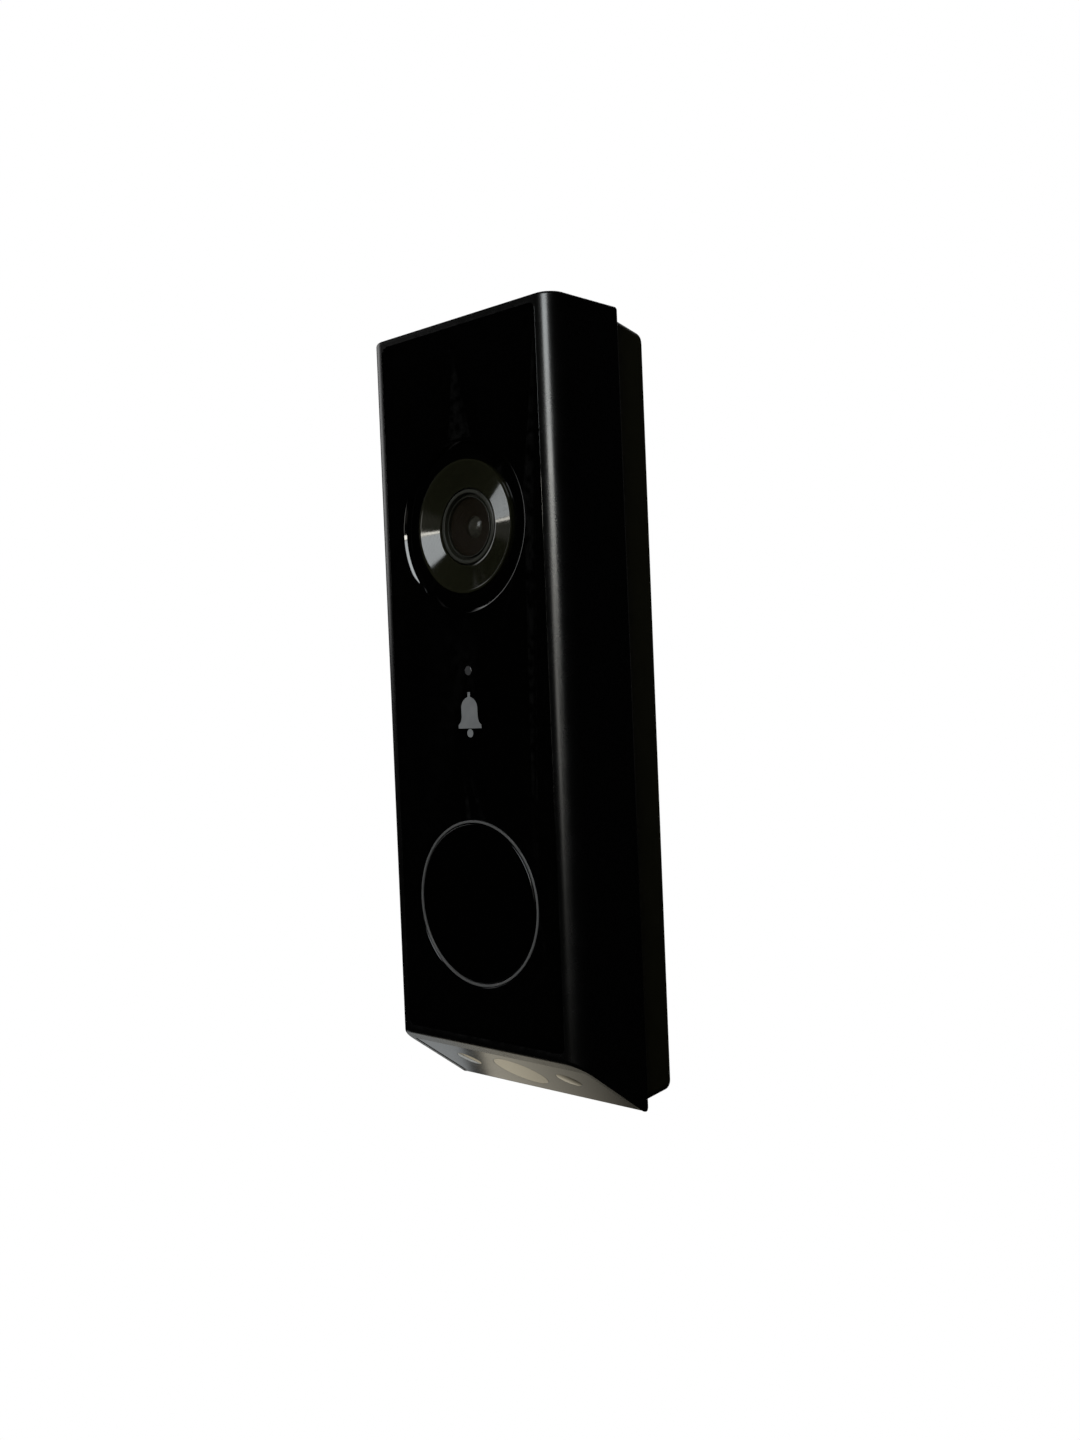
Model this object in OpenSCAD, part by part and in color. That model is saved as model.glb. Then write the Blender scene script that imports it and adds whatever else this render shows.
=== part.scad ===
// Battery video doorbell on its wall bracket, in millimetres.
// The origin is the centre of the wall face; +Y points into the wall, +Z is up, the front faces -Y.

/* [Body] */
// Width of the front body
body_w = 54; // [53:0.5:55]
// Height of the front body
body_h = 165; // [163:0.5:168]
// Depth of the front body
body_d = 20.5; // [20.3:0.1:20.7]
// Radius of the two tall front edges
edge_r = 4.2; // [3.6:0.1:4.6]
// Thickness of the moulded walls
wall = 1.6; // [1.5:0.05:1.7]
// Height of the sloping underside at the front
bevel_h = 14.5; // [13.5:0.1:15.5]

/* [Front panel] */
// Thickness of the gloss panel
panel_t = 2.4; // [2.3:0.05:2.5]
// Plain strip left on each side of the gloss panel
panel_side = 4.25; // [4.25:0.05:4.6]
// Strip left above the gloss panel
panel_top = 1.8; // [1.5:0.1:2.5]
// Drop from the top of the body to the light sensor
sensor_drop = 72.5; // [71.5:0.5:73.5]

/* [Camera] */
// Drop from the top of the body to the camera's axis
lens_drop = 42.7; // [41:0.1:44]
// Radius of the grooved ring around the lens
bezel_r = 13.75; // [13.5:0.05:14]
// Radius of the dished recess around the camera
dish_r = 17.8; // [17.5:0.1:18.2]
// Depth of the dished recess
dish_d = 1.3; // [1.1:0.1:1.4]

/* [Button] */
// Drop from the top of the body to the button's axis
button_drop = 120.7; // [119:0.1:122]
// Radius of the light ring's centre line
ring_r = 17; // [16.6:0.1:17.2]
// Width of the light ring
ring_w = 0.65; // [0.5:0.05:0.8]
// Travel of the button
button_travel = 0.5; // [0.3:0.05:0.5]

/* [Underside] */
// Distance of the round windows' centre down the slope
down_window_u = 13.2; // [12.8:0.1:13.6]
// Radius of the downward camera's window
down_window_r = 6.3; // [6:0.1:6.5]
// Radius of the two lamp windows
lamp_r = 2.85; // [2.5:0.05:3]
// Distance of each lamp window from the middle
lamp_x = 14.7; // [14:0.1:15.5]

/* [Rear housing] */
// Depth of the tapered rear housing and bracket behind the body
rear_d = 11; // [10.8:0.1:11.2]
// How far the rear housing narrows on each side from the body to the wall
rear_taper = 2; // [1.6:0.1:2.2]

/* [Bracket] */
// Thickness of the bracket's plate
plate_t = 2.4; // [2.2:0.1:2.6]
// Radius of the wall screw holes
wall_hole_r = 2.2; // [1.8:0.1:2.4]
// Distance between the wall screw holes
wall_hole_gap = 96; // [94:1:98]

/* [Power] */
// Diameter of one battery cell
cell_d = 18.2; // [18:0.1:18.4]
// Length of one battery cell
cell_l = 65; // [64:0.5:65]

/* [Hidden] */
$fn = 96;

half_w = body_w / 2;
half_h = body_h / 2;
back_y = -rear_d;                       // back face of the front body
front_y = back_y - body_d;              // plane of the gloss front
gap = 0.1;                              // clearance between fitted mouldings
over = 1;                               // how far a cutting solid overshoots
arc_steps = 8;                          // flats in a rounded moulding edge

panel_half = half_w - panel_side;
panel_z0 = -half_h + bevel_h + 1.8;
panel_z1 = half_h - panel_top;
panel_back = front_y + panel_t;
panel_corner = 1.6;
tape_t = 0.2;
ledge_front = panel_back + tape_t;
ledge_t = 1;

lens_z = half_h - lens_drop;
button_z = half_h - button_drop;
sensor_z = half_h - sensor_drop;
mic_x = -1.3;
mic_z = half_h - 6.1;

// Faces of the camera's parts, measured back from the front plane
rim_y = front_y + 0.6;
cone_y = front_y + 1.6;
bezel_back = front_y + 3.2;
barrel_back = front_y + 11.5;
board_back = front_y + 13.9;
well_r = 6.05;
lens_bulb_r = 2.3;
holder_half = 10.5;

// Button and light ring
cap_t = 1.6;
plunger_r = 2.5;
ring_in = ring_r - ring_w / 2;
ring_out = ring_r + ring_w / 2;
main_board_y = [front_y + 4.5, front_y + 5.5];
switch_t = 1.9;
plunger_t = 4.5 - switch_t - cap_t - button_travel - gap;   // leaves the travel free above the switch

// Underside slope
bevel_angle = atan2(bevel_h, body_d);
bevel_len = norm([bevel_h, body_d]);
bevel_panel_x = half_w - 2.1;
bevel_panel_u = [4.3, bevel_len - 1.4];
bevel_panel_z = [0.1, 1.6];
lamp_u = down_window_u - 1.2;

// Batteries
cell_r = cell_d / 2;
cell_x = cell_r + 0.3;
cell_y = -7.3 - cell_r;
cell_z1 = 13;
cell_z0 = cell_z1 - cell_l;
tray_x = 20.7;
tray_z = [cell_z0 - 2.3, cell_z1 + 2.3];

// Rear housing: half sizes where it meets the body and at the wall
rear_gap = 0.4;                         // the housing stops this far short of the wall
rear_x0 = half_w - 1.2;
rear_x1 = rear_x0 - rear_taper;
rear_top0 = half_h - 1.3;
rear_top1 = rear_top0 - 2.8;
rear_bot0 = -half_h + 1.3;
rear_bot1 = rear_bot0 + 3;
floor_y = [-7, -5.2];                   // the wall between the battery space and the pocket
pocket_x = 21.5;
pocket_z = [-72, 75.6];
spigot_x = half_w - wall - gap;
spigot_z = [-76.5, half_h - wall - gap];
spigot_y = back_y - 2;
seal_y = [back_y - 1.4, back_y - 0.6];
seal_d = 0.8;                           // depth of the seal's groove

// Bracket
plate_x = 20.5;
plate_z = [-64, 66];
rim_t = 1.6;
rim_front = -4.4;
tongue_y = [-4.4, -3];
tongue_z1 = 74.4;
tongue_x = 7;
window_x = [-14, 14];
window_z = [13, 40];
wall_hole_z = [4 - wall_hole_gap / 2, 4 + wall_hole_gap / 2];
screw_head_r = 4.2;
channel_x = 5.3;
spring_stop_z = -53.2;
latch_top = -58;
latch_foot = -70.4;
latch_y = [-4.3, -2.5];
latch_mid = (latch_y[0] + latch_y[1]) / 2;

// Ports behind the bracket's window
socket_z = 20;
terminal_x = 8;
terminal_z = 32;
reset_x = 11;
reset_z = 20;
reset_r = 1.5;
io_board_y = [-13.6, -12.6];

// Screws that hold the rear housing to the front shell
boss_r = 2.6;
shank_r = 1.1;
boss_xz = [[-19, 70], [19, 70], [-10, -58], [10, -58]];

// ---------------------------------------------------------------- helpers

// A box from its limits along each axis
module block(x, y, z)
    translate([x[0], y[0], z[0]]) cube([x[1] - x[0], y[1] - y[0], z[1] - z[0]]);

// A disc whose axis runs front to back
module disc(r, y, x = 0, z = 0)
    translate([x, y[0], z]) rotate([-90, 0, 0]) cylinder(r = r, h = y[1] - y[0]);

module ring(r_out, r_in, y, x = 0, z = 0)
    difference() {
        disc(r_out, y, x, z);
        disc(r_in, [y[0] - over, y[1] + over], x, z);
    }

// A turned part whose axis runs front to back; profile points are [radius, y]
module turned(profile, x = 0, z = 0)
    translate([x, 0, z]) rotate([-90, 0, 0]) rotate_extrude() polygon(profile);

function arc(c, r, a0, a1) =
    [for (i = [0 : arc_steps]) let (a = a0 + (a1 - a0) * i / arc_steps) c + r * [cos(a), sin(a)]];

// Rectangle with rounded corners as a list of points
function round_rect(x, y, r) = concat(
    arc([x[0] + r, y[0] + r], r, 180, 270), arc([x[1] - r, y[0] + r], r, 270, 360),
    arc([x[1] - r, y[1] - r], r, 0, 90), arc([x[0] + r, y[1] - r], r, 90, 180));

// Plate facing the front, with rounded corners
module plate(x, z, r, y)
    translate([0, y[1], 0]) rotate([90, 0, 0]) linear_extrude(y[1] - y[0]) polygon(round_rect(x, z, r));

// Places children on the sloping underside: x across, y down the slope, z into the body
module on_bevel()
    translate([0, front_y, -half_h + bevel_h]) rotate([-bevel_angle, 0, 0]) children();

module on_lamps()
    for (side = [-1, 1]) on_bevel() translate([side * lamp_x, lamp_u, 0]) children();

module at_bosses()
    for (p = boss_xz) translate([p[0], 0, p[1]]) children();

// Cross-section of the body, seen from above, with its two front edges rounded
function body_section(inset, y_back) = concat(
    [[half_w - inset, y_back], [inset - half_w, y_back]],
    arc([edge_r - half_w, front_y + edge_r], edge_r - inset, 180, 270),
    arc([half_w - edge_r, front_y + edge_r], edge_r - inset, 270, 360));

module body_solid(inset, y_back)
    difference() {
        translate([0, 0, -half_h - over]) linear_extrude(body_h + over - inset)
            polygon(body_section(inset, y_back));
        on_bevel() block([-body_w, body_w], [-body_w, body_w], [-body_w, inset]);
    }

// Coil of round wire along +Z from z = 0, swept ring by ring
module coil_spring(r, wire_r, turns, length) {
    sides = 8;
    per_turn = 16;
    rings = turns * per_turn;
    rise = (length - 2 * wire_r) / rings;
    points = [for (i = [0 : rings]) for (k = [0 : sides - 1])
        let (a = 360 * i / per_turn, b = 360 * k / sides, d = r + wire_r * cos(b))
            [d * cos(a), d * sin(a), wire_r + i * rise + wire_r * sin(b)]];
    skin = [for (i = [0 : rings - 1]) for (k = [0 : sides - 1]) let (n = (k + 1) % sides)
        [i * sides + k, (i + 1) * sides + k, (i + 1) * sides + n, i * sides + n]];
    first = [[for (k = [0 : sides - 1]) k]];
    last = [[for (k = [sides - 1 : -1 : 0]) rings * sides + k]];
    polyhedron(points, concat(skin, first, last), convexity = 4);
}

// ---------------------------------------------------------------- wall bracket

module wall_bracket() color("#2b2c2b") difference() {
    union() {
        block([-plate_x, plate_x], [-plate_t, 0], plate_z);
        // Stiffening rim around the plate
        difference() {
            block([-plate_x, plate_x], [rim_front, -plate_t], plate_z);
            block([rim_t - plate_x, plate_x - rim_t], [rim_front - over, -plate_t + over],
                [plate_z[0] + rim_t, plate_z[1] - rim_t]);
        }
        // Collar around the cable window
        block([window_x[0] - rim_t, window_x[1] + rim_t], [-3.6, -plate_t],
            [window_z[0] - rim_t, window_z[1] + rim_t]);
        // Bosses around the wall screws
        for (z = wall_hole_z) disc(screw_head_r + 1.6, [-3.6, -plate_t], 0, z);
        // Tongue that carries the top of the doorbell
        block([-tongue_x, tongue_x], tongue_y, [plate_z[1] - rim_t, tongue_z1]);
        // Walls and end stop of the latch's channel
        for (side = [-1, 1]) translate([side * (channel_x + 0.8), 0, 0])
            block([-0.7, 0.7], [rim_front, -plate_t], [plate_z[0], spring_stop_z]);
        block([-channel_x - 1.5, channel_x + 1.5], [rim_front, -plate_t], [spring_stop_z, spring_stop_z + 1.2]);
    }
    block(window_x, [rim_front - over, over], window_z);
    for (z = wall_hole_z) {
        disc(wall_hole_r, [rim_front - over, over], 0, z);
        disc(screw_head_r, [rim_front - over, -plate_t + 0.6], 0, z);
    }
    // The rim is open where the latch comes through
    block([-channel_x, channel_x], [rim_front - over, -plate_t], [plate_z[0] - over, spring_stop_z]);
}

// Sprung latch: a pin pushed up through the doorbell's underside lifts its foot
module bracket_latch() color("#3a3b3a") union() {
    block([gap - channel_x, channel_x - gap], latch_y, [-66, latch_top]);
    block([-3, 3], latch_y, [latch_foot, -66]);
    translate([0, latch_mid, latch_top]) cylinder(r = 0.5, h = 1);
}

module latch_spring() color("silver")
    translate([0, latch_mid, latch_top]) coil_spring(0.72, 0.13, 6, spring_stop_z - latch_top);

// ---------------------------------------------------------------- front body

module front_shell() color("#0b0b0c") difference() {
    union() {
        difference() {
            body_solid(0, back_y);
            body_solid(wall, back_y + over);
        }
        // Ledge that the gloss panel is stuck to
        intersection() {
            difference() {
                block([-half_w, half_w], [ledge_front, ledge_front + ledge_t], [panel_z0 - 2.4, half_h]);
                block([1.5 - panel_half, panel_half - 1.5], [ledge_front - over, ledge_front + ledge_t + over],
                    [panel_z0 + 1.4, panel_z1 - 1.6]);
            }
            body_solid(wall / 2, back_y);
        }
        // Ledge that the underside panel is stuck to
        intersection() {
            on_bevel() difference() {
                block([-half_w, half_w], [3, bevel_len - 0.6], [wall, wall + 0.8]);
                block([1.3 - bevel_panel_x, bevel_panel_x - 1.3],
                    [bevel_panel_u[0] + 1.3, bevel_panel_u[1] - 1.3], [wall - over, wall + 2]);
            }
            body_solid(wall / 2, back_y);
        }
        // Rib that closes the bottom of the rear housing's spigot
        intersection() {
            block([-half_w, half_w], [-13.5, back_y], [-half_h, spigot_z[0] - gap]);
            body_solid(wall / 2, back_y);
        }
        // Screw bosses, each tied back to a wall or a ledge
        at_bosses() disc(boss_r, [ledge_front, floor_y[0] - 0.05]);
        for (side = [-1, 1]) {
            translate([side * 22.5, 0, 70]) block([-3, 3], [ledge_front, -16], [-0.8, 0.8]);
            translate([side * 10, 0, 0]) block([-0.8, 0.8], [ledge_front, -24], [panel_z0, -58]);
        }
    }
    plate([-panel_half - gap, panel_half + gap], [panel_z0 - gap, panel_z1 + gap], panel_corner + gap,
        [front_y - over, ledge_front]);
    on_bevel() block([-bevel_panel_x - gap, bevel_panel_x + gap],
        [bevel_panel_u[0] - gap, bevel_panel_u[1] + gap], [-over, wall]);
    at_bosses() disc(shank_r + 0.02, [-16, back_y + 8]);
    // Slots in front of the loudspeaker
    for (i = [0 : 4]) block([-half_w - over, over - half_w + wall], [-24, -15], [-64.6 + 2 * i, -63.6 + 2 * i]);
}

module front_panel() color("#020203") difference() {
    plate([-panel_half, panel_half], [panel_z0, panel_z1], panel_corner, [front_y, panel_back]);
    turned([[0, front_y - over], [dish_r + over * 0.7, front_y - over], [dish_r, front_y],
        [dish_r - 0.9, front_y + dish_d], [0, front_y + dish_d]], 0, lens_z);
    disc(bezel_r + 0.25, [front_y, panel_back + over], 0, lens_z);
    disc(ring_out + 0.08, [front_y - over, panel_back + over], 0, button_z);
    disc(1.05, [front_y - over, panel_back + over], 0, sensor_z);
    disc(0.4, [front_y - over, panel_back + over], mic_x, mic_z);
    bell_shape([front_y - over, front_y + 0.3]);
}

module panel_adhesive() color("#6d6a60") difference() {
    plate([-panel_half, panel_half], [panel_z0, panel_z1], panel_corner, [panel_back, ledge_front]);
    block([2 - panel_half, panel_half - 2], [panel_back - over, ledge_front + over],
        [panel_z0 + 1.8, panel_z1 - 2]);
}

// Plain bell outline: dome, flared rim and clapper
module bell_shape(y) translate([0, 0, 1]) union() {
    disc(2.4, y, 0, 1.2);
    block([-2.4, 2.4], y, [-2, 1.2]);
    block([-3.4, 3.4], y, [-2.9, -2]);
    disc(0.9, y, 0, -3.9);
    block([-0.4, 0.4], y, [3.4, 4.6]);
}

module bell_symbol() color("#8a8b8c") bell_shape([front_y, front_y + 0.3]);

// ---------------------------------------------------------------- camera

module lens_bezel() color("#1a1a18") turned([[8, cone_y], [8.3, cone_y], [bezel_r - 0.45, rim_y],
    [bezel_r, rim_y], [bezel_r, panel_back + 0.05], [bezel_r + 1.7, panel_back + 0.05],
    [bezel_r + 1.7, bezel_back], [8, bezel_back]], 0, lens_z);

module lens_ring() color("#3b3b38") turned([[well_r + 0.05, cone_y + 0.4], [6.6, cone_y], [7.55, cone_y],
    [7.7, cone_y + 0.15], [7.7, bezel_back], [well_r + 0.05, bezel_back]], 0, lens_z);

module camera_window() color("#20201c", 0.4) disc(well_r, [cone_y + 0.45, cone_y + 0.95], 0, lens_z);

module lens_barrel() color("#15110d") turned([[2.35, barrel_back], [2.35, cone_y + 2],
    [5.6, cone_y + 1.2], [well_r, cone_y + 1.2], [well_r, bezel_back], [7.6, bezel_back],
    [7.6, barrel_back]], 0, lens_z);

module front_lens() color("#1c1512") intersection() {
    disc(lens_bulb_r, [cone_y + 1.3, cone_y + 4.5], 0, lens_z);
    translate([0, cone_y + 1.3 + 3, lens_z]) sphere(r = 3);
}

module camera_holder() color("#17181a") difference() {
    block([-holder_half, holder_half], [bezel_back + 0.1, board_back - 1], [lens_z - holder_half, lens_z + holder_half]);
    disc(7.65, [bezel_back - over, board_back], 0, lens_z);
    for (side = [-1, 1]) disc(0.92, [board_back - 5, board_back], side * 8.8, lens_z - side * 8.8);
}

module camera_screws() color("silver") for (side = [-1, 1]) union() {
    disc(0.9, [board_back - 4.5, board_back + 0.05], side * 8.8, lens_z - side * 8.8);
    disc(1.6, [board_back + 0.05, board_back + 0.9], side * 8.8, lens_z - side * 8.8);
}

module image_sensor() color("#2e3440") block([-4, 4], [board_back - 2.1, board_back - 1], [lens_z - 4, lens_z + 4]);

module sensor_board() color("#12402a") difference() {
    block([-11, 11], [board_back - 1, board_back], [lens_z - 11, lens_z + 11]);
    for (side = [-1, 1]) disc(0.95, [board_back - 2, board_back + over], side * 8.8, lens_z - side * 8.8);
}

// Flat cable from the camera's board down and forward to the main board
module ribbon_cable() color("#b8742a") union() {
    block([-5, 5], [board_back, board_back + 0.2], [20.3, lens_z - 5]);
    block([-5, 5], [main_board_y[1] + 0.05, board_back + 0.2], [20.3, 20.5]);
    block([-5, 5], [main_board_y[1], main_board_y[1] + 0.2], [16.5, 20.5]);
}

// ---------------------------------------------------------------- front sensors and button

module light_sensor_window() color("#3a3a3c") disc(1, [front_y, front_y + 3.6], 0, sensor_z);

module microphone_boot() color("#101010")
    ring(2.2, 0.5, [panel_back + 0.02, panel_back + 1], mic_x, mic_z);

module microphone_board() color("#12402a")
    block([mic_x - 5, mic_x + 5], [panel_back + 1, panel_back + 1.8], [mic_z - 6, mic_z + 2.6]);

module led_ring() color("#8d9092") union() {
    ring(ring_out, ring_in, [front_y, bezel_back], 0, button_z);
    ring(ring_out + 1.2, ring_in, [panel_back + 0.05, bezel_back], 0, button_z);
}

module ring_leds() color("#f2efe0") for (a = [0 : 45 : 315])
    translate([ring_r * cos(a), 0, button_z + ring_r * sin(a)])
        block([-0.6, 0.6], [main_board_y[0] - 0.9, main_board_y[0]], [-0.6, 0.6]);

module button_cap() color("#020203") union() {
    disc(ring_in - 0.2, [front_y, front_y + cap_t], 0, button_z);
    disc(plunger_r, [front_y + cap_t, front_y + cap_t + plunger_t], 0, button_z);
}

module button_spring() color("silver")
    translate([0, front_y + cap_t, button_z]) rotate([-90, 0, 0])
        coil_spring(5.4, 0.25, 3, main_board_y[0] - front_y - cap_t);

module tact_switch() color("#c8c8c8") union() {
    block([-3, 3], [main_board_y[0] - 1.4, main_board_y[0]], [button_z - 3, button_z + 3]);
    disc(1.6, [main_board_y[0] - switch_t, main_board_y[0] - 1.4], 0, button_z);
}

// ---------------------------------------------------------------- electronics and power

module main_board() color("#12402a") block([-22, 22], main_board_y, [-53, 22]);

module shield_can() color("#b4b6b8") block([-18, -3], [main_board_y[0] - 1.6, main_board_y[0]], [-9, 7]);

module wifi_antenna() color("#c58a2c") block([spigot_x - 0.6, spigot_x - 0.2], [-26, -16], [46, 64]);

module battery_cells() color("#2f6fa8") for (side = [-1, 1])
    translate([side * cell_x, cell_y, cell_z0]) cylinder(r = cell_r, h = cell_l);

module battery_tray() color("#1b1b1b") difference() {
    block([-tray_x, tray_x], [-22, -10], tray_z);
    block([1.5 - tray_x, tray_x - 1.5], [-22 - over, over - 10], [cell_z0 - 0.6, cell_z1 + 0.6]);
}

module battery_contacts() color("gold") for (side = [-1, 1], z = [cell_z0 - 0.5, cell_z1 + 0.1])
    translate([side * cell_x, cell_y, z]) cylinder(r = 4, h = 0.4);

// ---------------------------------------------------------------- underside

module bevel_panel() color("#1d1c18") on_bevel() difference() {
    block([-bevel_panel_x, bevel_panel_x], bevel_panel_u, bevel_panel_z);
    translate([0, down_window_u, -over]) cylinder(r = down_window_r + 0.05, h = 4);
    for (side = [-1, 1]) translate([side * lamp_x, lamp_u, -over]) cylinder(r = lamp_r + 0.05, h = 4);
}

module down_camera_window() color("#6c6a60", 0.5) on_bevel() translate([0, down_window_u, bevel_panel_z[0]])
    cylinder(r = down_window_r, h = 1.2);

module down_camera_baffle() color("#111111") on_bevel() translate([0, down_window_u, bevel_panel_z[0] + 1.25])
    rotate_extrude() polygon([[1.9, 0.9], [5.6, 0], [down_window_r, 0], [down_window_r, 0.3],
        [down_window_r + 0.9, 0.3], [down_window_r + 0.9, 1.1], [1.9, 1.1]]);

module down_camera_lens() color("#1c1512") on_bevel() translate([0, down_window_u, bevel_panel_z[0] + 1.4])
    intersection() {
        cylinder(r = 1.8, h = 2.2);
        translate([0, 0, 2.4]) sphere(r = 2.4);
    }

module down_camera_module() color("#17181a") on_bevel() translate([0, down_window_u, 0]) difference() {
    union() {
        translate([-6.5, -5.5, 2.5]) cube([13, 11, 1]);
        translate([0, 0, 2.5]) cylinder(r = 4.6, h = 7);
    }
    cylinder(r = 1.9, h = 5);
}

module lamp_windows() color("#c9c6b8") on_lamps() translate([0, 0, bevel_panel_z[0]]) cylinder(r = lamp_r, h = 1.5);

module lamp_leds() color("#f5f2d8") on_lamps() translate([-1.2, -1.2, 2.2]) cube([2.4, 2.4, 0.9]);

module lamp_boards() color("#12402a") on_lamps() translate([-3.4, -3.4, 3.1]) cube([6.8, 6.8, 0.8]);

// ---------------------------------------------------------------- sound

module speaker() color("#26272a") union() {
    block([-24.6, -20.2], [-26, -13.6], [-66, -54.9]);
    translate([-24.9, -19.8, -60.45]) rotate([0, 90, 0]) cylinder(r = 4.2, h = 0.5);
}

module speaker_gasket() color("#3d3d3d") difference() {
    block([-25.35, -24.9], [-25.6, -13.8], [-65.8, -55]);
    block([-26, -24], [-24.6, -14.8], [-64.8, -56]);
}

// ---------------------------------------------------------------- rear housing

// Solid of the tapered housing: two trapezoid prisms crossed at right angles
module rear_frustum() intersection() {
    linear_extrude(body_h, center = true) polygon([[-rear_x0, back_y], [rear_x0, back_y],
        [rear_x1, -rear_gap], [-rear_x1, -rear_gap]]);
    rotate([90, 0, 90]) linear_extrude(body_w, center = true) polygon([[back_y, rear_bot0],
        [-rear_gap, rear_bot1], [-rear_gap, rear_top1], [back_y, rear_top0]]);
}

module rear_housing() color("#141511") difference() {
    union() {
        rear_frustum();
        block([-spigot_x, spigot_x], [spigot_y, back_y], spigot_z);
    }
    // Space for the batteries and electronics
    block([1.7 - spigot_x, spigot_x - 1.7], [spigot_y - over, floor_y[0]], [-75, spigot_z[1] - 2]);
    // Groove for the seal around the spigot
    difference() {
        block([-half_w, half_w], seal_y, [-half_h, half_h]);
        block([seal_d - spigot_x, spigot_x - seal_d], [seal_y[0] - over, seal_y[1] + over],
            [spigot_z[0] + seal_d, spigot_z[1] - seal_d]);
    }
    // Pocket for the bracket, with a rib left behind the bracket's tongue
    difference() {
        block([-pocket_x, pocket_x], [floor_y[1], over], pocket_z);
        block([-8, 8], [-1.6, over], [72, pocket_z[1] + over]);
    }
    at_bosses() disc(shank_r + 0.2, [floor_y[0] - over, floor_y[1] + over]);
    // Openings for the charging socket, the terminals, the reset button and the release pin
    block([-4.8, 4.8], [floor_y[0] - over, floor_y[1] + over], [socket_z - 1.95, socket_z + 1.95]);
    for (side = [-1, 1]) disc(1.65, [floor_y[0] - over, floor_y[1] + over], side * terminal_x, terminal_z);
    disc(reset_r + 0.1, [floor_y[0] - over, floor_y[1] + over], reset_x, reset_z);
    translate([0, latch_mid, -half_h]) cylinder(r = 0.9, h = half_h + pocket_z[0] + over);
}

module rear_seal() color("#5b5d5f") difference() {
    block([-spigot_x, spigot_x], [seal_y[0] + 0.05, seal_y[1] - 0.05], spigot_z);
    block([seal_d - 0.05 - spigot_x, spigot_x - seal_d + 0.05], [seal_y[0] - over, seal_y[1] + over],
        [spigot_z[0] + seal_d - 0.05, spigot_z[1] - seal_d + 0.05]);
}

module case_screws() color("silver") at_bosses() difference() {
    union() {
        disc(shank_r, [-14, floor_y[1] + 0.05]);
        disc(2.1, [floor_y[1] + 0.05, floor_y[1] + 1.2]);
    }
    block([-1.4, 1.4], [floor_y[1] + 0.7, 0], [-0.25, 0.25]);
    block([-0.25, 0.25], [floor_y[1] + 0.7, 0], [-1.4, 1.4]);
}

// ---------------------------------------------------------------- ports behind the bracket

module io_board() color("#12402a") block([-16, 16], io_board_y, [15.6, 37]);

module terminal_block() color("#c7b27a") for (side = [-1, 1])
    ring(1.6, 0.92, [io_board_y[1], floor_y[1] - 0.05], side * terminal_x, terminal_z);

module terminal_screws() color("silver") for (side = [-1, 1]) difference() {
    union() {
        disc(0.9, [-11.5, floor_y[1]], side * terminal_x, terminal_z);
        disc(3, [floor_y[1], floor_y[1] + 1.3], side * terminal_x, terminal_z);
    }
    block([side * terminal_x - 2.2, side * terminal_x + 2.2], [floor_y[1] + 0.8, 0],
        [terminal_z - 0.35, terminal_z + 0.35]);
}

module charging_socket() color("#b9bcbf") difference() {
    block([-4.5, 4.5], [io_board_y[1], floor_y[1] - 0.1], [socket_z - 1.65, socket_z + 1.65]);
    block([-4.2, 4.2], [io_board_y[1] + 1, floor_y[1] + over], [socket_z - 1.35, socket_z + 1.35]);
}

module port_cover() color("#1f201e") union() {
    block([-6, 6], [floor_y[1] + 0.05, floor_y[1] + 1.05], [socket_z - 3, socket_z + 3]);
    block([-4, 4], [floor_y[1] - 2.4, floor_y[1] + 0.05], [socket_z - 1.15, socket_z + 1.15]);
    block([-1.5, 1.5], [floor_y[1] + 0.05, floor_y[1] + 1.05], [socket_z - 4.2, socket_z - 3]);
}

module reset_button() color("#4a4b4c") union() {
    disc(reset_r, [floor_y[0] - 0.7, floor_y[1] + 0.2], reset_x, reset_z);
    disc(reset_r + 0.7, [floor_y[0] - 0.7, floor_y[0] - 0.1], reset_x, reset_z);
}

module reset_switch() color("#c8c8c8")
    block([reset_x - 2, reset_x + 2], [io_board_y[1], floor_y[0] - 1.2], [reset_z - 2, reset_z + 2]);

// ---------------------------------------------------------------- parts

wall_bracket();
bracket_latch();
latch_spring();
front_shell();
front_panel();
panel_adhesive();
bell_symbol();
lens_bezel();
camera_window();
lens_ring();
lens_barrel();
front_lens();
camera_holder();
camera_screws();
image_sensor();
sensor_board();
ribbon_cable();
light_sensor_window();
microphone_boot();
microphone_board();
led_ring();
ring_leds();
button_cap();
button_spring();
tact_switch();
main_board();
shield_can();
wifi_antenna();
battery_cells();
battery_tray();
battery_contacts();
bevel_panel();
down_camera_window();
down_camera_baffle();
down_camera_lens();
down_camera_module();
lamp_windows();
lamp_leds();
lamp_boards();
speaker();
speaker_gasket();
rear_housing();
rear_seal();
case_screws();
terminal_block();
terminal_screws();
io_board();
charging_socket();
port_cover();
reset_button();
reset_switch();
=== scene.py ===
import math

import bmesh
import bpy
from mathutils import Matrix, Vector


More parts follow.
